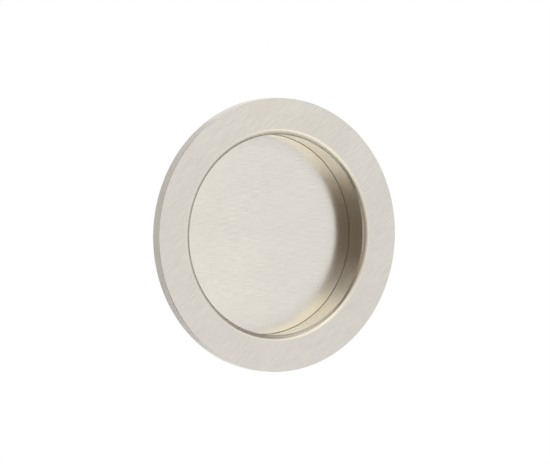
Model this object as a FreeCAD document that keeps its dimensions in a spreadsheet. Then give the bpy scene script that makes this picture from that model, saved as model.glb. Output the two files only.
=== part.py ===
import FreeCAD, Part
import math
import os
import Sketcher

# Round flush cup pull for a pocket door.
# The flange's back face lies on the XZ plane with its centre at the origin. The recess opens towards
# -Y and +Z is up. Depths run along +Y, from the flange's back face into the door.

DRIVING_SIZES = [
    ("rose_diameter", 69.85, "outer diameter of the flange"),
    ("rose_thickness", 3.05, "thickness of the flange, which stands proud of the door"),
    ("rose_bevel", 0.06, "bevel on the flange's front edge"),
    ("recess_diameter", 51.3, "inner diameter of the finger recess"),
    ("recess_depth", 7.55, "from the flange's front face down to the visible floor"),
    ("lip_width", 1.45, "how far the rolled lip reaches from the recess wall into the flange's face"),
    ("lip_depth", 0.8, "how far the rolled lip reaches down the recess wall"),
    ("barrel_wall", 1.05, "wall between the finger recess and the barrel's outside"),
    ("barrel_chamfer", 0.5, "lead-in on the barrel's back edge"),
    ("web_thickness", 2.8, "bottom of the cup, behind the cover disc"),
    ("cover_thickness", 2.2, "thickness of the cover disc"),
    ("cover_gap", 0.05, "radial gap between the cover disc and the recess wall"),
    ("cover_chamfer", 0.04, "bevel on the cover disc's front edge"),
    ("groove_depth", 0.95, "depth of the ring groove in the cover disc's edge"),
    ("groove_width", 1.3, "width of the ring groove"),
    ("ring_side_gap", 0.025, "room between the squeezed ring and each side of its groove"),
    ("ring_bevel", 0.25, "bevel on the squeezed ring's edges"),
    ("screw_spacing", 32.0, "distance between the two screws"),
    ("screw_gap", 0.2, "radial gap between screw and hole"),
    ("screw_length", 12.7, "from the head's face to the point"),
    ("screw_diameter", 3.5, "over the thread"),
    ("screw_neck_diameter", 2.6, "plain neck between the head and the thread"),
    ("screw_neck_length", 0.55, "from the end of the head's cone to the thread"),
    ("screw_point_length", 3.6, "length of the tapered point"),
    ("screw_tip_diameter", 0.3, "flat at the very tip"),
    ("head_diameter", 6.8, "over the countersunk head"),
    ("head_rim", 0.2, "height of the head's straight rim"),
    ("head_sink", 0.1, "how far the head's face lies below the web's front"),
    ("countersink_angle", 82.0, "full angle of countersink and head"),
    ("drive_depth", 1.7, "depth of the cross recess in the head"),
    ("drive_span", 3.8, "span of the cross recess at its mouth"),
    ("drive_slot", 0.9, "width of each arm at its mouth"),
    ("drive_bottom_span", 1.5, "span of the cross recess at its bottom"),
    ("drive_bottom_slot", 0.5, "width of each arm at its bottom"),
]

# Places that follow from the driving sizes
AXIS = "0"
SEAT = "0"
FACE = "-Sizes.rose_thickness"
FLOOR = "(Sizes.recess_depth - Sizes.rose_thickness)"
WEB_FRONT = f"({FLOOR} + Sizes.cover_thickness)"
WEB_BACK = f"({WEB_FRONT} + Sizes.web_thickness)"
ROSE_RADIUS = "Sizes.rose_diameter / 2"
RECESS_RADIUS = "Sizes.recess_diameter / 2"
LIP_OUTSIDE = f"({RECESS_RADIUS} + Sizes.lip_width)"
LIP_BOTTOM = f"({FACE} + Sizes.lip_depth)"
LIP_CURVE = "((Sizes.lip_width^2 + Sizes.lip_depth^2) / (2 * Sizes.lip_depth))"
BARREL_RADIUS = f"({RECESS_RADIUS} + Sizes.barrel_wall)"
COVER_RADIUS = f"({RECESS_RADIUS} - Sizes.cover_gap)"
GROOVE_RADIUS = f"({COVER_RADIUS} - Sizes.groove_depth)"
GROOVE_FRONT = f"({FLOOR} + Sizes.cover_thickness / 2 - Sizes.groove_width / 2)"
GROOVE_BACK = f"({GROOVE_FRONT} + Sizes.groove_width)"
SCREW_OFFSET = "Sizes.screw_spacing / 2"
SCREW_RADIUS = "Sizes.screw_diameter / 2"
NECK_RADIUS = "Sizes.screw_neck_diameter / 2"
HOLE_DIAMETER = "(Sizes.screw_diameter + 2 * Sizes.screw_gap)"
CONE_SLOPE = "tan(Sizes.countersink_angle / 2 * 1 deg)"
HEAD_FACE = f"({WEB_FRONT} + Sizes.head_sink)"
HEAD_RADIUS = "Sizes.head_diameter / 2"
COUNTERSINK_DIAMETER = f"(Sizes.head_diameter + 2 * (Sizes.head_rim + Sizes.head_sink) * {CONE_SLOPE})"

SCREW_COUNT = 2
FULL_TURN = 360
BEVEL_LIMIT = 0.45  # most of a section's width that the bevel on one edge may take
SAME_PLACE = 1e-4


def make_sheet(doc):
    """The spreadsheet that holds every driving size."""
    sheet = doc.addObject("Spreadsheet::Sheet", "Sizes")
    for row, (alias, value, meaning) in enumerate(DRIVING_SIZES, start=1):
        sheet.set(f"A{row}", meaning)
        sheet.set(f"B{row}", str(value))
        sheet.setAlias(f"B{row}", alias)
    doc.recompute()


def value_of(doc, expression):
    return float(doc.getObject("Sizes").evalExpression(expression))


def make_body(doc, name):
    body = doc.addObject("PartDesign::Body", name)
    body.Label = name
    return body


def new_sketch(body, name, plane="XY_Plane", depth=None):
    """A sketch on one of the body's origin planes. On the XZ plane it may lie at a depth."""
    sketch = body.newObject("Sketcher::SketchObject", name)
    support = next(item for item in body.Origin.OriginFeatures if item.Role == plane)
    sketch.AttachmentSupport = (support, "")
    sketch.MapMode = "FlatFace"
    if depth is not None:
        sketch.setExpression("AttachmentOffset.Base.z", f"-({depth})")
    return sketch


def constrain(sketch, kind, *places, to):
    """A dimension of the sketch, bound to an expression."""
    value = value_of(sketch.Document, to)
    number = sketch.addConstraint(Sketcher.Constraint(kind, *places, value))
    sketch.setExpression(f"Constraints[{number}]", to)


def arc_between(start, end, centre):
    """The arc about a centre that runs counterclockwise from start to end."""
    angles = [math.atan2(place.y - centre.y, place.x - centre.x) for place in (start, end)]
    circle = Part.Circle(centre, FreeCAD.Vector(0, 0, 1), centre.distanceToPoint(start))
    return Part.ArcOfCircle(circle, *angles)


def draw_outline(sketch, corners, last_side_centre=None):
    """A closed outline, each corner held by two expressions. The last side may be an arc about a centre."""
    doc = sketch.Document
    places = [FreeCAD.Vector(value_of(doc, across), value_of(doc, along), 0) for across, along in corners]
    following = places[1:] + places[:1]
    sides = [Part.LineSegment(start, end) for start, end in zip(places, following)]
    if last_side_centre:
        centre = FreeCAD.Vector(*[value_of(doc, expression) for expression in last_side_centre], 0)
        sides[-1] = arc_between(places[-1], places[0], centre)
    for side in sides:
        sketch.addGeometry(side)
    for side in range(len(corners)):
        next_side = (side + 1) % len(corners)
        sketch.addConstraint(Sketcher.Constraint("Coincident", side, 2, next_side, 1))
    for side, (across, along) in enumerate(corners):
        constrain(sketch, "DistanceX", -1, 1, side, 1, to=across)
        constrain(sketch, "DistanceY", -1, 1, side, 1, to=along)
    if last_side_centre:
        constrain(sketch, "DistanceX", -1, 1, len(corners) - 1, 3, to=last_side_centre[0])


def turn(body, kind, name, corners, last_side_centre=None):
    """A full turn of a (radius, depth) outline about the Y axis, added or cut away."""
    outline = new_sketch(body, f"{name}_outline")
    draw_outline(outline, corners, last_side_centre)
    feature = body.newObject(f"PartDesign::{kind}", name)
    feature.Profile = outline
    feature.ReferenceAxis = (outline, ["V_Axis"])
    feature.Angle = FULL_TURN
    body.Document.recompute()
    return feature


def round_edges(feature, places):
    """Names of the circular edges that lie at the given (radius, depth) places."""
    doc = feature.Document
    wanted = [(value_of(doc, radius), value_of(doc, depth)) for radius, depth in places]
    names = []
    for number, edge in enumerate(feature.Shape.Edges, start=1):
        if not isinstance(edge.Curve, Part.Circle):
            continue
        circle = edge.Curve
        for radius, depth in wanted:
            if abs(circle.Radius - radius) < SAME_PLACE and abs(circle.Center.y - depth) < SAME_PLACE:
                names.append(f"Edge{number}")
    if len(names) != len(places):
        raise RuntimeError(f"{feature.Name}: {len(names)} edges found, {len(places)} wanted")
    return names


def dress(body, kind, name, places, **sizes):
    """A Fillet or Chamfer on the body's circular edges at the given places."""
    base = body.Tip
    feature = body.newObject(f"PartDesign::{kind}", name)
    feature.Base = (base, round_edges(base, places))
    for size, expression in sizes.items():
        feature.setExpression(size, expression)
    body.Document.recompute()
    return feature


def make_screw_holes(body):
    """Countersunk holes through the web, one above and one below the axis."""
    doc = body.Document
    centre = new_sketch(body, "screw_hole_centre", "XZ_Plane", WEB_FRONT)
    place = FreeCAD.Vector(0, value_of(doc, SCREW_OFFSET), 0)
    normal = FreeCAD.Vector(0, 0, 1)
    centre.addGeometry(Part.Circle(place, normal, value_of(doc, HOLE_DIAMETER) / 2))
    centre.addConstraint(Sketcher.Constraint("PointOnObject", 0, 3, -2))
    constrain(centre, "DistanceY", -1, 1, 0, 3, to=SCREW_OFFSET)
    constrain(centre, "Diameter", 0, to=HOLE_DIAMETER)
    doc.recompute()
    hole = body.newObject("PartDesign::Hole", "screw_hole")
    hole.Profile = centre
    doc.recompute()
    hole.ThreadType = "None"
    hole.DepthType = "ThroughAll"
    hole.HoleCutType = "Countersink"
    hole.setExpression("Diameter", HOLE_DIAMETER)
    hole.setExpression("HoleCutDiameter", COUNTERSINK_DIAMETER)
    hole.setExpression("HoleCutCountersinkAngle", "Sizes.countersink_angle")
    doc.recompute()
    pattern = body.newObject("PartDesign::PolarPattern", "screw_holes")
    pattern.Originals = [hole]
    pattern.Axis = (centre, ["N_Axis"])
    pattern.Angle = FULL_TURN
    pattern.Occurrences = SCREW_COUNT
    body.Tip = pattern
    doc.recompute()


def make_pull_body(doc):
    """Flange, rolled lip, recess wall, barrel and web, turned in one piece."""
    body = make_body(doc, "pull_body")
    turn(body, "Revolution", "cup", [
        (AXIS, WEB_FRONT),
        (RECESS_RADIUS, WEB_FRONT),
        (RECESS_RADIUS, FACE),
        (ROSE_RADIUS, FACE),
        (ROSE_RADIUS, SEAT),
        (BARREL_RADIUS, SEAT),
        (BARREL_RADIUS, WEB_BACK),
        (AXIS, WEB_BACK),
    ])
    turn(body, "Groove", "lip", [
        (LIP_OUTSIDE, FACE),
        (RECESS_RADIUS, FACE),
        (RECESS_RADIUS, LIP_BOTTOM),
    ], last_side_centre=(LIP_OUTSIDE, f"({FACE} + {LIP_CURVE})"))
    dress(body, "Chamfer", "rose_edge", [(ROSE_RADIUS, FACE)], Size="Sizes.rose_bevel")
    dress(body, "Chamfer", "barrel_edge", [(BARREL_RADIUS, WEB_BACK)], Size="Sizes.barrel_chamfer")
    make_screw_holes(body)
    return body


def make_cover_disc(doc):
    """The visible floor of the recess: a disc with a bevelled edge and a groove for its ring."""
    body = make_body(doc, "cover_disc")
    turn(body, "Revolution", "disc", [
        (AXIS, FLOOR),
        (COVER_RADIUS, FLOOR),
        (COVER_RADIUS, WEB_FRONT),
        (AXIS, WEB_FRONT),
    ])
    dress(body, "Chamfer", "disc_bevel", [(COVER_RADIUS, FLOOR)], Size="Sizes.cover_chamfer")
    turn(body, "Groove", "ring_groove", [
        (GROOVE_RADIUS, GROOVE_FRONT),
        (RECESS_RADIUS, GROOVE_FRONT),
        (RECESS_RADIUS, GROOVE_BACK),
        (GROOVE_RADIUS, GROOVE_BACK),
    ])
    return body


def make_retaining_ring(doc):
    """The square-cut rubber ring, squeezed between the disc's groove and the recess wall."""
    body = make_body(doc, "retaining_ring")
    front = f"({GROOVE_FRONT} + Sizes.ring_side_gap)"
    back = f"({GROOVE_BACK} - Sizes.ring_side_gap)"
    section = [(GROOVE_RADIUS, front), (RECESS_RADIUS, front), (RECESS_RADIUS, back), (GROOVE_RADIUS, back)]
    turn(body, "Revolution", "ring", section)
    width = f"min({back} - {front}; {RECESS_RADIUS} - {GROOVE_RADIUS})"
    dress(body, "Chamfer", "ring_edges", section, Size=f"min(Sizes.ring_bevel; {BEVEL_LIMIT} * {width})")
    return body


def cross_corners(span, slot):
    """The corners of a cross: four arms of the slot's width that reach half the span."""
    far = f"{span} / 2"
    near = f"{slot} / 2"
    return [
        (near, far), (f"-{near}", far), (f"-{near}", near), (f"-{far}", near),
        (f"-{far}", f"-{near}"), (f"-{near}", f"-{near}"), (f"-{near}", f"-{far}"), (near, f"-{far}"),
        (near, f"-{near}"), (far, f"-{near}"), (far, near), (near, near),
    ]


def make_cross_recess(body, name):
    """The driver's cross recess, which narrows from the head's face downwards."""
    mouth = new_sketch(body, f"{name}_drive_mouth", "XZ_Plane", HEAD_FACE)
    draw_outline(mouth, cross_corners("Sizes.drive_span", "Sizes.drive_slot"))
    bottom = new_sketch(body, f"{name}_drive_bottom", "XZ_Plane", f"{HEAD_FACE} + Sizes.drive_depth")
    draw_outline(bottom, cross_corners("Sizes.drive_bottom_span", "Sizes.drive_bottom_slot"))
    body.Document.recompute()
    recess = body.newObject("PartDesign::SubtractiveLoft", f"{name}_drive")
    recess.Profile = mouth
    recess.Sections = [bottom]
    recess.Ruled = True
    body.Document.recompute()


def make_screw(doc, name, side):
    """A countersunk wood screw, its head seated in the web. The side is 1 above the axis, -1 below."""
    body = make_body(doc, name)
    cone_start = f"({HEAD_FACE} + Sizes.head_rim)"
    cone_end = f"({cone_start} + ({HEAD_RADIUS} - {NECK_RADIUS}) / {CONE_SLOPE})"
    thread_start = f"({cone_end} + Sizes.screw_neck_length)"
    tip = f"({HEAD_FACE} + Sizes.screw_length)"
    turn(body, "Revolution", f"{name}_blank", [
        (AXIS, HEAD_FACE),
        (HEAD_RADIUS, HEAD_FACE),
        (HEAD_RADIUS, cone_start),
        (NECK_RADIUS, cone_end),
        (NECK_RADIUS, thread_start),
        (SCREW_RADIUS, thread_start),
        (SCREW_RADIUS, f"({tip} - Sizes.screw_point_length)"),
        ("Sizes.screw_tip_diameter / 2", tip),
        (AXIS, tip),
    ])
    make_cross_recess(body, name)
    body.setExpression("Placement.Base.z", f"{side} * {SCREW_OFFSET}")
    doc.recompute()
    return body


def check(doc, bodies):
    """Stop before anything is written if a feature failed or a shape isn't one sound solid."""
    for item in doc.Objects:
        if "Invalid" in item.State or "Error" in item.State:
            raise RuntimeError(f"{item.Label}: {item.State}")
    for body in bodies:
        shape = body.Shape
        if shape.isNull() or not shape.isValid() or len(shape.Solids) != 1:
            raise RuntimeError(f"{body.Label}: its shape is not one valid solid")


def main():
    doc = FreeCAD.newDocument("PocketDoorPull")
    make_sheet(doc)
    bodies = [
        make_pull_body(doc),
        make_cover_disc(doc),
        make_retaining_ring(doc),
        make_screw(doc, "screw_top", 1),
        make_screw(doc, "screw_bottom", -1),
    ]
    doc.recompute()
    check(doc, bodies)
    os.makedirs("parts", exist_ok=True)
    for body in bodies:
        body.Shape.exportStep(os.path.join("parts", f"{body.Label}.step"))
        print(f"{body.Label}: {body.Shape.Volume:.1f} mm3")


main()
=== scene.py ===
import math

import bmesh
import bpy
from mathutils import Matrix, Vector


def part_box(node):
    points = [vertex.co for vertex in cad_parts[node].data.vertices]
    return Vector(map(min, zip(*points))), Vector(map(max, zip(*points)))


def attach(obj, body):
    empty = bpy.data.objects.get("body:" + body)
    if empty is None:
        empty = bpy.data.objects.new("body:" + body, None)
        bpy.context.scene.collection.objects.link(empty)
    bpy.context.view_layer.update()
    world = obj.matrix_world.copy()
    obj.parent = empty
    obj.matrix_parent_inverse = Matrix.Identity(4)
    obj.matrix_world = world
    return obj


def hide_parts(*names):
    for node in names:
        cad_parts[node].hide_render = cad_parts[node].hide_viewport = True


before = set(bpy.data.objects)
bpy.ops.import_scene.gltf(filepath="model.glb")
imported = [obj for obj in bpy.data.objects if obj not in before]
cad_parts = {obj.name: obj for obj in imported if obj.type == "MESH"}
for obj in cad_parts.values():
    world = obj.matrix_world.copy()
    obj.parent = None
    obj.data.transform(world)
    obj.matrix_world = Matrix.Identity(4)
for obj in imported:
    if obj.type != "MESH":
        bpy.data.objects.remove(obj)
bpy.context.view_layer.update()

# Sizes in metres, from the frame where it gives them and otherwise as in the construction
MM = 0.001
SEAT = 0.0
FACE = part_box("pull_body")[0].y
WEB_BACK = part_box("pull_body")[1].y
ROSE_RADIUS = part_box("pull_body")[1].x
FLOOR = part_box("cover_disc")[0].y
WEB_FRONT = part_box("cover_disc")[1].y
COVER_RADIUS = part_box("cover_disc")[1].x
RECESS_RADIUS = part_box("retaining_ring")[1].x
LIP_WIDTH = 1.45 * MM
LIP_DEPTH = 0.8 * MM
BARREL_WALL = 1.05 * MM
BARREL_RADIUS = RECESS_RADIUS + BARREL_WALL
ROSE_BEVEL = 0.06 * MM
BARREL_CHAMFER = 0.5 * MM
COVER_CHAMFER = 0.04 * MM
GROOVE_DEPTH = 0.95 * MM
GROOVE_WIDTH = 1.3 * MM
EDGE_BREAK = 0.04 * MM

HEAD_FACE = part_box("screw_top")[0].y
SCREW_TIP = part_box("screw_top")[1].y
HEAD_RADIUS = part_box("screw_top")[1].x
SCREW_OFFSET = (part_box("screw_top")[0].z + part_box("screw_top")[1].z) / 2
HEAD_RIM = 0.2 * MM
COUNTERSINK_ANGLE = math.radians(82)
CONE_SLOPE = math.tan(COUNTERSINK_ANGLE / 2)
COUNTERSINK_RADIUS = HEAD_RADIUS + (HEAD_FACE + HEAD_RIM - WEB_FRONT) * CONE_SLOPE
NECK_RADIUS = 1.3 * MM
NECK_LENGTH = 0.55 * MM
THREAD_RADIUS = 1.75 * MM
THREAD_PITCH = 1.4 * MM
THREAD_RUN_IN = 0.6 * THREAD_PITCH
THREAD_FLANK = math.radians(30)
CREST_HALF_WIDTH = 0.03 * MM
CORE_RADIUS = 1.15 * MM
CORE_GAIN = 1.3
POINT_LENGTH = 3.6 * MM
TIP_RADIUS = 0.15 * MM
HOLE_GAP = 0.2 * MM
HOLE_RADIUS = THREAD_RADIUS + HOLE_GAP

# The cross drive's depth, and its span and slot width at the mouth and at the bottom
DRIVE_DEPTH = 1.7 * MM
DRIVE_MOUTH = (3.8 * MM, 0.9 * MM)
DRIVE_BOTTOM = (1.5 * MM, 0.5 * MM)

# Mesh fineness
TURN_STEPS = 384
HOLE_STEPS = 64
ARC_STEP = math.radians(7.5)
LIP_STEPS = 24
SCREW_STEPS = 48
ROWS_PER_PITCH = 24
SHARP_ANGLE = math.radians(25)
SHORTEST_STEP = 1e-9
PLACES_PER_METRE = 1e7

# Colours, linear
FLANGE_NICKEL = (0.624, 0.601, 0.562)
FLOOR_NICKEL = (0.634, 0.613, 0.584)
TURNED_NICKEL = (0.672, 0.645, 0.584)
ZINC = (0.62, 0.63, 0.62)
RUBBER = (0.022, 0.021, 0.02)
GROUND_PAINT = (0.9, 0.9, 0.9)

# Brushed grain: fine scratches over longer streaks over soft clouds
BRUSHED_ROUGHNESS = 0.24
BRUSHED_ANISOTROPY = 0.65
SCRATCH_LENGTH = 3.5 * MM
SCRATCH_WIDTH = 0.09 * MM
SCRATCH_DEPTH = 0.0018 * MM
STREAK_STRETCH = 20
STREAK_DEPTH = 0.0008 * MM
STREAK_SHARE = 0.7
CLOUD_LENGTH = 22 * MM
CLOUD_WIDTH = 9 * MM
TONE_RANGE = (0.35, 0.65)

# Turned grain: fine marks over wider bands
MARK_LENGTH = 7 * MM
BAND_LENGTH = 16 * MM
BAND_WIDENING = 5
BAND_CONTRAST = 0.03
QUARTER_TURN = 0.25

# What materials share
GLOSS_CHANGE = 0.12
NOISE_ROUGHNESS = 0.6
PAINT_ROUGHNESS = 0.9

# The camera, by the photograph's viewing angle and its framing in pixels
IMAGE_WIDTH = 550
CAMERA_AZIMUTH = math.radians(-30.5)
CAMERA_ELEVATION = math.radians(1.96)
PIXELS_PER_RADIUS = 137.03
FACE_RIGHT_OF_CENTRE = 2.97
FACE_BELOW_CENTRE = 3.02
CAMERA_DISTANCE = 64 * ROSE_RADIUS
SENSOR_WIDTH = 36.0
FARTHEST_SEEN = 50

# The studio: how far its cards and lamps stand from the object, and its ground's depth and width
STUDIO_DISTANCE = 1.0
GROUND_DEPTH = 0.8
GROUND_WIDTH = 4.0


# Turned shapes

def rounded_outline(corners):
    """Runs of (place, normal) pairs along corners that are given as (radius, depth, rounding).

    The first and last corners stay as they are. The outside is on the right of the way."""
    points = [Vector((corner[0], corner[1])) for corner in corners]
    normals = []
    for start, end in zip(points, points[1:]):
        along = (end - start).normalized()
        normals.append(Vector((along.y, -along.x)))
    runs = []
    at = points[0]
    for index in range(1, len(points)):
        normal = normals[index - 1]
        rounding = corners[index][2] if index < len(points) - 1 else 0
        if not rounding:
            runs.append([(at, normal), (points[index], normal)])
            at = points[index]
            continue
        before = (points[index] - points[index - 1]).normalized()
        after = (points[index + 1] - points[index]).normalized()
        turn = abs(before.angle_signed(after))
        reach = rounding * math.tan(turn / 2)
        start = points[index] - before * reach
        end = points[index] + after * reach
        runs.append([(at, normal), (start, normal)])
        side = 1 if normal.dot(end - start) < 0 else -1
        centre = start - normal * rounding * side
        steps = max(2, math.ceil(turn / ARC_STEP))
        arc = []
        for step in range(steps + 1):
            share = step / steps
            aim = normal * math.sin((1 - share) * turn) + normals[index] * math.sin(share * turn)
            aim = aim / math.sin(turn)
            arc.append((centre + aim * rounding * side, aim))
        runs.append(arc)
        at = end
    return runs


def lip_outline():
    """The rolled lip's run, from its corner with the wall out to where it flows into the face."""
    curve = (LIP_WIDTH ** 2 + LIP_DEPTH ** 2) / (2 * LIP_DEPTH)
    centre = Vector((RECESS_RADIUS + LIP_WIDTH, FACE + curve))
    sweep = 2 * math.atan2(LIP_DEPTH, LIP_WIDTH)
    run = []
    for step in range(LIP_STEPS + 1):
        angle = sweep * (1 - step / LIP_STEPS)
        normal = Vector((-math.sin(angle), -math.cos(angle)))
        run.append((centre + normal * curve, normal))
    return run


class Solid:
    """A closed mesh of turned bands and flat caps, with exact normals and a slot for each face."""

    def __init__(self, name):
        self.name = name
        self.mesh = bmesh.new()
        self.normals = {}
        self.rings = {}

    def ring(self, radius, depth, centre=(0, 0), steps=TURN_STEPS):
        """The vertices of a circle about an axis along Y, shared by all faces that meet there."""
        key = (round(radius * PLACES_PER_METRE), round(depth * PLACES_PER_METRE), centre, steps)
        if key not in self.rings:
            verts = []
            for step in range(steps):
                angle = 2 * math.pi * step / steps
                x = centre[0] + radius * math.cos(angle)
                z = centre[1] + radius * math.sin(angle)
                verts.append(self.mesh.verts.new((x, depth, z)))
            self.rings[key] = verts
        return self.rings[key]

    def face(self, verts, normals, slot):
        """A face with a normal for each of its vertices."""
        made = self.mesh.faces.new(verts)
        made.smooth = True
        made.material_index = slot
        self.normals[made] = dict(zip(verts, normals))

    def band(self, run, slot=0, centre=(0, 0), steps=TURN_STEPS):
        """A run of the outline, turned about an axis along Y."""
        for (start, start_normal), (end, end_normal) in zip(run, run[1:]):
            if (start - end).length < SHORTEST_STEP:
                continue
            first = self.ring(start.x, start.y, centre, steps)
            second = self.ring(end.x, end.y, centre, steps)
            for step in range(steps):
                after = (step + 1) % steps
                corners = [first[step], first[after], second[after], second[step]]
                turns = [step, step + 1, step + 1, step]
                flat = [start_normal, start_normal, end_normal, end_normal]
                normals = []
                for turn, normal in zip(turns, flat):
                    angle = 2 * math.pi * turn / steps
                    x = normal.x * math.cos(angle)
                    z = normal.x * math.sin(angle)
                    normals.append(Vector((x, normal.y, z)))
                self.face(corners, normals, slot)

    def cap(self, outer, holes, facing, slot=0):
        """A flat face across Y inside a ring, left open at the rings of its holes."""
        edges = []
        for verts in [outer] + holes:
            for start, end in zip(verts, verts[1:] + verts[:1]):
                edge = self.mesh.edges.get((start, end)) or self.mesh.edges.new((start, end))
                edges.append(edge)
        if holes:
            filled = bmesh.ops.triangle_fill(self.mesh, edges=edges, use_beauty=True)
            made = [item for item in filled["geom"] if isinstance(item, bmesh.types.BMFace)]
        else:
            made = [self.mesh.faces.new(outer)]
        for face in made:
            face.smooth = True
            face.material_index = slot
            face.normal_update()
            if face.normal.y * facing < 0:
                face.normal_flip()
            self.normals[face] = {vert: Vector((0, facing, 0)) for vert in face.verts}

    def finish(self, materials):
        """The object, with its faces turned outwards and its normals set."""
        self.mesh.faces.ensure_lookup_table()
        for face in self.mesh.faces:
            face.normal_update()
            wanted = sum(self.normals[face].values(), Vector((0, 0, 0)))
            if face.normal.dot(wanted) < 0:
                face.normal_flip()
        self.mesh.faces.index_update()
        loops = []
        for face in self.mesh.faces:
            for vert in face.verts:
                loops.append(tuple(self.normals[face][vert]))
        made = add_object(self.name, self.mesh, materials)
        made.data.normals_split_custom_set(loops)
        return made


def add_object(name, mesh, materials):
    """An object in the scene that holds a finished bmesh."""
    data = bpy.data.meshes.new(name)
    mesh.to_mesh(data)
    mesh.free()
    for material in materials:
        data.materials.append(material)
    made = bpy.data.objects.new(name, data)
    bpy.context.scene.collection.objects.link(made)
    return made


# Material parts

class Nodes:
    """A new material and short ways to add its nodes."""

    def __init__(self, name):
        self.material = bpy.data.materials.new(name)
        self.material.use_nodes = True
        self.tree = self.material.node_tree
        self.shader = self.tree.nodes["Principled BSDF"]

    def link(self, source, target):
        """A link from an output to an input."""
        self.tree.links.new(source, target)

    def place(self):
        """The place on the object, in metres."""
        return self.tree.nodes.new("ShaderNodeTexCoord").outputs["Object"]

    def math(self, operation, first, second):
        """A Math node, whose two inputs may be sockets or numbers."""
        made = self.tree.nodes.new("ShaderNodeMath")
        made.operation = operation
        for socket, value in zip(made.inputs, (first, second)):
            if isinstance(value, (int, float)):
                socket.default_value = value
            else:
                self.link(value, socket)
        return made.outputs["Value"]

    def mapped(self, vector, rotation=(0, 0, 0), scale=(1, 1, 1)):
        """Coordinates that are turned or scaled."""
        made = self.tree.nodes.new("ShaderNodeMapping")
        made.inputs["Rotation"].default_value = rotation
        made.inputs["Scale"].default_value = scale
        self.link(vector, made.inputs["Vector"])
        return made.outputs["Vector"]

    def noise(self, vector, detail):
        """Noise of about one cell for each unit of its coordinates."""
        made = self.tree.nodes.new("ShaderNodeTexNoise")
        made.inputs["Scale"].default_value = 1.0
        made.inputs["Detail"].default_value = detail
        made.inputs["Roughness"].default_value = NOISE_ROUGHNESS
        self.link(vector, made.inputs["Vector"])
        return made.outputs["Fac"]

    def stripes(self, vector, length, width, detail):
        """Noise with cells of a length along X and a width along Z, the same all along Y."""
        return self.noise(self.mapped(vector, scale=(1 / length, 0, 1 / width)), detail)

    def speckle(self, size, detail):
        """Noise with cells of a size in all directions."""
        return self.noise(self.mapped(self.place(), scale=(1 / size,) * 3), detail)

    def spread(self, source, low, high, start=0.3, end=0.7):
        """The middle of a noise's range, mapped to run from low to high."""
        made = self.tree.nodes.new("ShaderNodeMapRange")
        made.inputs["From Min"].default_value = start
        made.inputs["From Max"].default_value = end
        made.inputs["To Min"].default_value = low
        made.inputs["To Max"].default_value = high
        self.link(source, made.inputs["Value"])
        return made.outputs["Result"]

    def tint(self, colour, amount, source):
        """The colour, made darker and lighter by an amount as the source goes from 0 to 1."""
        made = self.tree.nodes.new("ShaderNodeMix")
        made.data_type = "RGBA"
        sockets = [socket for socket in made.inputs if socket.type == "RGBA"]
        sockets[0].default_value = [channel * (1 - amount) for channel in colour] + [1]
        sockets[1].default_value = [channel * (1 + amount) for channel in colour] + [1]
        self.link(source, made.inputs["Factor"])
        return next(socket for socket in made.outputs if socket.type == "RGBA")

    def bump(self, height, depth, under=None):
        """Relief of the given depth, on top of another bump where one is given."""
        made = self.tree.nodes.new("ShaderNodeBump")
        made.inputs["Distance"].default_value = depth
        self.link(height, made.inputs["Height"])
        if under:
            self.link(under, made.inputs["Normal"])
        return made.outputs["Normal"]

    def turned_place(self, around, across):
        """Coordinates for lathe marks: slow round the Y axis, fast over radius and depth."""
        split = self.tree.nodes.new("ShaderNodeSeparateXYZ")
        self.link(self.place(), split.inputs["Vector"])
        flat = self.tree.nodes.new("ShaderNodeCombineXYZ")
        self.link(split.outputs["X"], flat.inputs["X"])
        self.link(split.outputs["Z"], flat.inputs["Z"])
        radius = self.tree.nodes.new("ShaderNodeVectorMath")
        radius.operation = "LENGTH"
        self.link(flat.outputs["Vector"], radius.inputs[0])
        direction = self.tree.nodes.new("ShaderNodeVectorMath")
        direction.operation = "NORMALIZE"
        self.link(flat.outputs["Vector"], direction.inputs[0])
        slow = self.tree.nodes.new("ShaderNodeVectorMath")
        slow.operation = "SCALE"
        slow.inputs["Scale"].default_value = RECESS_RADIUS / around
        self.link(direction.outputs["Vector"], slow.inputs[0])
        height = self.math("SUBTRACT", radius.outputs["Value"], split.outputs["Y"])
        fast = self.tree.nodes.new("ShaderNodeCombineXYZ")
        self.link(self.math("MULTIPLY", height, 1 / across), fast.inputs["Y"])
        both = self.tree.nodes.new("ShaderNodeVectorMath")
        both.operation = "ADD"
        self.link(slow.outputs["Vector"], both.inputs[0])
        self.link(fast.outputs["Vector"], both.inputs[1])
        return both.outputs["Vector"]


# Materials

def varied_gloss(nodes, source, roughness):
    """Make the roughness a little lower and higher as the source goes through its range."""
    varied = nodes.spread(source, roughness * (1 - GLOSS_CHANGE), roughness * (1 + GLOSS_CHANGE))
    nodes.link(varied, nodes.shader.inputs["Roughness"])


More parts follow.
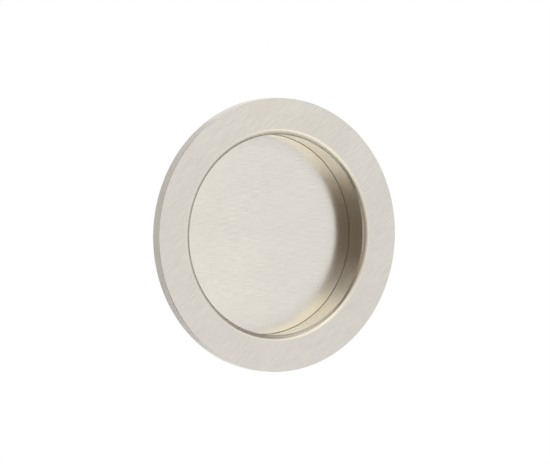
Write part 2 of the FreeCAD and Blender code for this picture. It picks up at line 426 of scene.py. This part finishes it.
def brushed_metal(name, colour, angle, streak_width, contrast):
    """Nickel brushed in straight lines, at an angle from +X towards +Z."""
    nodes = Nodes(name)
    shader = nodes.shader
    shader.inputs["Metallic"].default_value = 1.0
    shader.inputs["Anisotropic"].default_value = BRUSHED_ANISOTROPY
    along = nodes.mapped(nodes.place(), rotation=(0, angle, 0))
    scratches = nodes.stripes(along, SCRATCH_LENGTH, SCRATCH_WIDTH, 3)
    streaks = nodes.stripes(along, STREAK_STRETCH * streak_width, streak_width, 3)
    clouds = nodes.stripes(along, CLOUD_LENGTH, CLOUD_WIDTH, 2)
    varied_gloss(nodes, streaks, BRUSHED_ROUGHNESS)
    fine = nodes.math("MULTIPLY", streaks, STREAK_SHARE)
    broad = nodes.math("MULTIPLY", clouds, 1 - STREAK_SHARE)
    tone = nodes.spread(nodes.math("ADD", fine, broad), 0, 1, *TONE_RANGE)
    nodes.link(nodes.tint(colour, contrast, tone), shader.inputs["Base Color"])
    relief = nodes.bump(streaks, STREAK_DEPTH)
    nodes.link(nodes.bump(scratches, SCRATCH_DEPTH, relief), shader.inputs["Normal"])
    across = nodes.tree.nodes.new("ShaderNodeCombineXYZ")
    across.inputs["X"].default_value = -math.sin(angle)
    across.inputs["Z"].default_value = math.cos(angle)
    nodes.link(across.outputs["Vector"], shader.inputs["Tangent"])
    return nodes.material


def turned_metal(name, roughness, anisotropy, mark_width, mark_depth):
    """Nickel with fine lathe marks round the Y axis."""
    nodes = Nodes(name)
    shader = nodes.shader
    shader.inputs["Metallic"].default_value = 1.0
    shader.inputs["Anisotropic"].default_value = anisotropy
    shader.inputs["Anisotropic Rotation"].default_value = QUARTER_TURN
    marks = nodes.noise(nodes.turned_place(MARK_LENGTH, mark_width), 3)
    bands = nodes.noise(nodes.turned_place(BAND_LENGTH, BAND_WIDENING * mark_width), 2)
    varied_gloss(nodes, bands, roughness)
    tone = nodes.spread(bands, 0, 1)
    nodes.link(nodes.tint(TURNED_NICKEL, BAND_CONTRAST, tone), shader.inputs["Base Color"])
    nodes.link(nodes.bump(marks, mark_depth), shader.inputs["Normal"])
    tangent = nodes.tree.nodes.new("ShaderNodeTangent")
    tangent.direction_type = "RADIAL"
    tangent.axis = "Y"
    nodes.link(tangent.outputs["Tangent"], shader.inputs["Tangent"])
    return nodes.material


def zinc_plate(name):
    """Bright zinc with a faint mottle and fine grain."""
    nodes = Nodes(name)
    shader = nodes.shader
    shader.inputs["Metallic"].default_value = 1.0
    mottle = nodes.speckle(size=0.9 * MM, detail=3)
    grain = nodes.speckle(size=0.12 * MM, detail=2)
    nodes.link(nodes.spread(mottle, low=0.24, high=0.36), shader.inputs["Roughness"])
    tone = nodes.spread(mottle, 0, 1)
    nodes.link(nodes.tint(ZINC, amount=0.05, source=tone), shader.inputs["Base Color"])
    nodes.link(nodes.bump(grain, depth=0.002 * MM), shader.inputs["Normal"])
    return nodes.material


def black_rubber(name):
    """Matt black rubber with a fine pebble and faint mould bloom."""
    nodes = Nodes(name)
    shader = nodes.shader
    bloom = nodes.speckle(size=2.5 * MM, detail=2)
    pebble = nodes.speckle(size=0.15 * MM, detail=3)
    nodes.link(nodes.spread(bloom, low=0.55, high=0.72), shader.inputs["Roughness"])
    tone = nodes.spread(bloom, 0, 1)
    nodes.link(nodes.tint(RUBBER, amount=0.2, source=tone), shader.inputs["Base Color"])
    nodes.link(nodes.bump(pebble, depth=0.008 * MM), shader.inputs["Normal"])
    return nodes.material


def paint(name, colour):
    """Matt paint for the studio's ground and cards."""
    nodes = Nodes(name)
    nodes.shader.inputs["Base Color"].default_value = (*colour, 1)
    nodes.shader.inputs["Roughness"].default_value = PAINT_ROUGHNESS
    return nodes.material


flange_metal = brushed_metal(
    "flange_nickel", FLANGE_NICKEL, angle=math.radians(37), streak_width=0.22 * MM, contrast=0.066,
)
floor_metal = brushed_metal(
    "floor_nickel", FLOOR_NICKEL, angle=math.radians(3), streak_width=0.17 * MM, contrast=0.058,
)
wall_metal = turned_metal(
    "wall_nickel", roughness=0.21, anisotropy=0.2, mark_width=0.07 * MM, mark_depth=0.0012 * MM,
)
lip_metal = turned_metal(
    "lip_nickel", roughness=0.33, anisotropy=0.0, mark_width=0.07 * MM, mark_depth=0.0012 * MM,
)
back_metal = turned_metal(
    "back_nickel", roughness=0.3, anisotropy=0.3, mark_width=0.12 * MM, mark_depth=0.002 * MM,
)
ring_rubber = black_rubber("ring_rubber")
screw_zinc = zinc_plate("screw_zinc")


# Pieces

def make_pull_body():
    """The turned body: its whole outline from the web's front corner round to the web's back."""
    solid = Solid("pull_body_turned")
    lip = lip_outline()
    wall = rounded_outline([(RECESS_RADIUS, WEB_FRONT, 0), (RECESS_RADIUS, FACE + LIP_DEPTH, 0)])
    face = rounded_outline([
        (RECESS_RADIUS + LIP_WIDTH, FACE, 0),
        (ROSE_RADIUS - ROSE_BEVEL, FACE, EDGE_BREAK),
        (ROSE_RADIUS, FACE + ROSE_BEVEL, EDGE_BREAK),
        (ROSE_RADIUS, SEAT, EDGE_BREAK),
        (BARREL_RADIUS, SEAT, 0),
        (BARREL_RADIUS, WEB_BACK - BARREL_CHAMFER, EDGE_BREAK),
        (BARREL_RADIUS - BARREL_CHAMFER, WEB_BACK, 0),
    ])
    flange_slot, wall_slot, lip_slot, back_slot = 0, 1, 2, 3
    for run in wall:
        solid.band(run, slot=wall_slot)
    solid.band(lip, slot=lip_slot)
    for index, run in enumerate(face):
        is_behind = run[-1][0].y > SEAT - EDGE_BREAK
        edge_slot = back_slot if is_behind else wall_slot
        solid.band(run, slot=flange_slot if index == 0 else edge_slot)
    front_mouths = []
    back_mouths = []
    for side in (1, -1):
        centre = (0, side * SCREW_OFFSET)
        cone_end = WEB_FRONT + (COUNTERSINK_RADIUS - HOLE_RADIUS) / CONE_SLOPE
        hole = rounded_outline([
            (HOLE_RADIUS, WEB_BACK, 0),
            (HOLE_RADIUS, cone_end, 0),
            (COUNTERSINK_RADIUS, WEB_FRONT, 0),
        ])
        for run in hole:
            solid.band(run, slot=back_slot, centre=centre, steps=HOLE_STEPS)
        front_mouths.append(solid.ring(COUNTERSINK_RADIUS, WEB_FRONT, centre, HOLE_STEPS))
        back_mouths.append(solid.ring(HOLE_RADIUS, WEB_BACK, centre, HOLE_STEPS))
    solid.cap(solid.ring(RECESS_RADIUS, WEB_FRONT), front_mouths, facing=-1, slot=back_slot)
    web_edge = solid.ring(BARREL_RADIUS - BARREL_CHAMFER, WEB_BACK)
    solid.cap(web_edge, back_mouths, facing=1, slot=back_slot)
    return solid.finish([flange_metal, wall_metal, lip_metal, back_metal])


def make_cover_disc():
    """The brushed floor disc with its bevel and ring groove."""
    solid = Solid("cover_disc_brushed")
    groove_middle = (FLOOR + WEB_FRONT) / 2
    groove_front = groove_middle - GROOVE_WIDTH / 2
    groove_back = groove_middle + GROOVE_WIDTH / 2
    runs = rounded_outline([
        (COVER_RADIUS - COVER_CHAMFER, FLOOR, 0),
        (COVER_RADIUS, FLOOR + COVER_CHAMFER, 0),
        (COVER_RADIUS, groove_front, 0),
        (COVER_RADIUS - GROOVE_DEPTH, groove_front, 0),
        (COVER_RADIUS - GROOVE_DEPTH, groove_back, 0),
        (COVER_RADIUS, groove_back, 0),
        (COVER_RADIUS, WEB_FRONT, 0),
    ])
    floor_slot, back_slot = 0, 1
    for run in runs:
        solid.band(run, slot=back_slot)
    solid.cap(solid.ring(COVER_RADIUS - COVER_CHAMFER, FLOOR), [], facing=-1, slot=floor_slot)
    solid.cap(solid.ring(COVER_RADIUS, WEB_FRONT), [], facing=1, slot=back_slot)
    return solid.finish([floor_metal, back_metal])


def shank_radius(depth, angle, thread_start):
    """The screw's radius behind its neck: a V thread that grows there and tapers to the point.

    From the tip on, the core widens faster than the thread by its gain."""
    taper = min(1, (SCREW_TIP - depth) / POINT_LENGTH)
    crest = TIP_RADIUS + (THREAD_RADIUS - TIP_RADIUS) * taper
    core = min(CORE_RADIUS, TIP_RADIUS + (CORE_RADIUS - TIP_RADIUS) * taper * CORE_GAIN)
    run_in = min(1, max(0, (depth - thread_start) / THREAD_RUN_IN))
    neck = NECK_RADIUS + (core - NECK_RADIUS) * run_in
    turns = (depth - thread_start) / THREAD_PITCH + angle / (2 * math.pi)
    from_crest = abs(turns - round(turns)) * THREAD_PITCH
    ridge = crest - max(0, from_crest - CREST_HALF_WIDTH) / math.tan(THREAD_FLANK)
    base = max(neck, core)
    return max(min(base, crest), base + (ridge - base) * run_in)


def cross_corners(span, slot):
    """The corners of a cross whose arms have the slot's width and reach half the span, in order."""
    far = span / 2
    near = slot / 2
    quarter = [(far, -near), (far, near), (near, near)]
    corners = []
    for turn in range(4):
        for x, z in quarter:
            for _ in range(turn):
                x, z = -z, x
            corners.append((x, z))
    return corners


def make_screw(name, side):
    """A countersunk wood screw with a cross recess, a plain neck and a right-hand thread."""
    mesh = bmesh.new()
    middle = side * SCREW_OFFSET
    cone_start = HEAD_FACE + HEAD_RIM
    cone_end = cone_start + (HEAD_RADIUS - NECK_RADIUS) / CONE_SLOPE
    thread_start = cone_end + NECK_LENGTH

    def row(depth, radius_at):
        """Vertices round the screw's axis at a depth, with a radius for each angle."""
        verts = []
        for step in range(SCREW_STEPS):
            angle = 2 * math.pi * step / SCREW_STEPS
            radius = radius_at(angle)
            x = radius * math.cos(angle)
            z = middle + radius * math.sin(angle)
            verts.append(mesh.verts.new((x, depth, z)))
        return verts

    plain_rows = [
        (HEAD_FACE, HEAD_RADIUS - EDGE_BREAK),
        (HEAD_FACE + EDGE_BREAK, HEAD_RADIUS),
        (cone_start, HEAD_RADIUS),
        (cone_end, NECK_RADIUS),
    ]
    rows = [row(depth, lambda angle, radius=radius: radius) for depth, radius in plain_rows]
    count = math.ceil((SCREW_TIP - thread_start) / THREAD_PITCH * ROWS_PER_PITCH)
    for index in range(count + 1):
        depth = thread_start + (SCREW_TIP - thread_start) * index / count
        rows.append(row(depth, lambda angle, depth=depth: shank_radius(depth, angle, thread_start)))
    for first, second in zip(rows, rows[1:]):
        for step in range(SCREW_STEPS):
            after = (step + 1) % SCREW_STEPS
            mesh.faces.new([first[step], first[after], second[after], second[step]])
    mesh.faces.new(list(reversed(rows[-1])))

    def cross(depth, corners):
        """Vertices at the corners of the cross drive at a depth."""
        return [mesh.verts.new((x, depth, middle + z)) for x, z in corners]

    mouth = cross(HEAD_FACE, cross_corners(*DRIVE_MOUTH))
    bottom = cross(HEAD_FACE + DRIVE_DEPTH, cross_corners(*DRIVE_BOTTOM))
    edges = []
    for verts in (rows[0], mouth):
        for start, end in zip(verts, verts[1:] + verts[:1]):
            edges.append(mesh.edges.get((start, end)) or mesh.edges.new((start, end)))
    bmesh.ops.triangle_fill(mesh, edges=edges, use_beauty=True)
    for index in range(len(mouth)):
        after = (index + 1) % len(mouth)
        mesh.faces.new([mouth[index], mouth[after], bottom[after], bottom[index]])
    mesh.faces.new(bottom)
    bmesh.ops.recalc_face_normals(mesh, faces=mesh.faces)
    for face in mesh.faces:
        face.smooth = True
    made = add_object(name, mesh, [screw_zinc])
    made.data.set_sharp_from_angle(angle=SHARP_ANGLE)
    return made


def fit_piece(piece, node):
    """Carry a piece on the part's one body in place of a node."""
    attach(piece, "root")
    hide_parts(node)


fit_piece(make_pull_body(), "pull_body")
fit_piece(make_cover_disc(), "cover_disc")
fit_piece(make_screw("screw_top_threaded", 1), "screw_top")
fit_piece(make_screw("screw_bottom_threaded", -1), "screw_bottom")
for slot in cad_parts["retaining_ring"].material_slots:
    slot.material = ring_rubber


# Camera

def view_axes(azimuth, elevation):
    """Unit vectors from the object to a viewer, and to the viewer's right and up."""
    towards = Vector((
        math.sin(azimuth) * math.cos(elevation),
        -math.cos(azimuth) * math.cos(elevation),
        math.sin(elevation),
    ))
    right = Vector((math.cos(azimuth), math.sin(azimuth), 0))
    up = towards.cross(right)
    return towards, right, up


def facing_back(axes, place):
    """A transform for what faces the object with its -Z from a place, along the view's axes."""
    towards, right, up = axes
    turned = Matrix((right, up, towards)).transposed().to_4x4()
    return Matrix.Translation(place) @ turned


camera_axes = view_axes(CAMERA_AZIMUTH, CAMERA_ELEVATION)
towards, right, up = camera_axes
pixel = ROSE_RADIUS / PIXELS_PER_RADIUS
aim = Vector((0, FACE, 0)) - right * FACE_RIGHT_OF_CENTRE * pixel + up * FACE_BELOW_CENTRE * pixel
camera_data = bpy.data.cameras.new("camera")
camera_data.sensor_width = SENSOR_WIDTH
camera_data.lens = SENSOR_WIDTH * CAMERA_DISTANCE / (IMAGE_WIDTH * pixel)
camera_data.clip_end = FARTHEST_SEEN
camera = bpy.data.objects.new("camera", camera_data)
camera.matrix_world = facing_back(camera_axes, aim + towards * CAMERA_DISTANCE)
bpy.context.scene.collection.objects.link(camera)
bpy.context.scene.camera = camera


# Studio: a white room, a pale ground, painted cards round the object and two soft lamps

world = bpy.data.worlds.new("white_room")
world.use_nodes = True
world.node_tree.nodes["Background"].inputs["Color"].default_value = (1, 1, 1, 1)
world.node_tree.nodes["Background"].inputs["Strength"].default_value = 1.0
bpy.context.scene.world = world
bpy.context.scene.view_settings.view_transform = "Standard"


def make_panel(name, matrix, width, height, material):
    """A flat rectangular panel of the studio."""
    panel = bmesh.new()
    signs = [(-1, -1), (1, -1), (1, 1), (-1, 1)]
    corners = [(x * width / 2, z * height / 2, 0) for x, z in signs]
    panel.faces.new([panel.verts.new(corner) for corner in corners])
    made = add_object(name, panel, [material])
    made.matrix_world = matrix
    return made


def studio_place(azimuth, elevation, half_width, half_height, roll=0):
    """The transform, width and height of a panel that fills the given angles, in degrees.

    A roll above 0 raises the end on the right, for a viewer behind the panel."""
    axes = view_axes(math.radians(azimuth), math.radians(elevation))
    width = 2 * STUDIO_DISTANCE * math.tan(math.radians(half_width))
    height = 2 * STUDIO_DISTANCE * math.tan(math.radians(half_height))
    rolled = Matrix.Rotation(math.radians(roll), 4, "Z")
    return facing_back(axes, axes[0] * STUDIO_DISTANCE) @ rolled, width, height


def make_card(name, colour, *angles):
    """A painted card that the metal mirrors and the camera doesn't see."""
    matrix, width, height = studio_place(*angles)
    card = make_panel(name, matrix, width, height, paint(f"{name}_paint", colour))
    card.visible_camera = False


def make_lamp(name, glow, *angles):
    """A soft lamp whose glow adds to the white room, which is 1, where the metal mirrors both."""
    matrix, width, height = studio_place(*angles)
    data = bpy.data.lights.new(name, "AREA")
    data.shape = "RECTANGLE"
    data.size = width
    data.size_y = height
    brightness = max(glow)
    data.color = [channel / brightness for channel in glow]
    data.energy = brightness * math.pi * width * height
    lamp = bpy.data.objects.new(name, data)
    lamp.matrix_world = matrix
    bpy.context.scene.collection.objects.link(lamp)


ground_place = Matrix.Translation((0, 0, -GROUND_DEPTH))
make_panel("ground", ground_place, GROUND_WIDTH, GROUND_WIDTH, paint("ground_paint", GROUND_PAINT))

# A colour, then azimuth, elevation, half the width, half the height and the roll, in degrees
make_card("back_left_card", (0.96, 0.96, 0.98), -166, 0, 24, 40)
make_card("left_upper_card", (0.36, 0.28, 0.2), -100, 30.5, 26, 24.5)
make_card("left_lower_card", (0.06, 0.05, 0.04), -100, -38, 25, 32)
make_card("side_card", (0.68, 0.61, 0.53), -55, 6, 15, 34)
make_card("camera_card", (0.3, 0.235, 0.16), -32.5, 6, 10, 36, 5)
make_card("front_card", (0.8, 0.7, 0.6), -7, 0, 16, 12)
make_card("lower_warm_card", (1.0, 0.84, 0.6), -15.5, -28, 4.5, 12)
make_card("upper_warm_card", (1.0, 0.84, 0.6), -17.5, 28, 2.5, 12)
make_card("lower_left_card", (0.03, 0.02, 0.01), -50, -48, 25, 15)
make_card("upper_left_card", (0.03, 0.02, 0.01), -48, 50, 25, 8)
make_card("top_card", (0.6, 0.48, 0.34), -14, 64, 22, 7)
make_card("upper_right_card", (0.16, 0.09, 0.04), 56, 36, 16, 16)
make_card("right_card", (0.6, 0.57, 0.57), 80, -10, 8, 34)
make_lamp("upper_lamp", (1.02, 0.9, 0.58), 13.5, 26, 23, 8, -35)
make_lamp("lower_lamp", (0.86, 0.77, 0.54), 15.5, -28, 23, 10, 35)
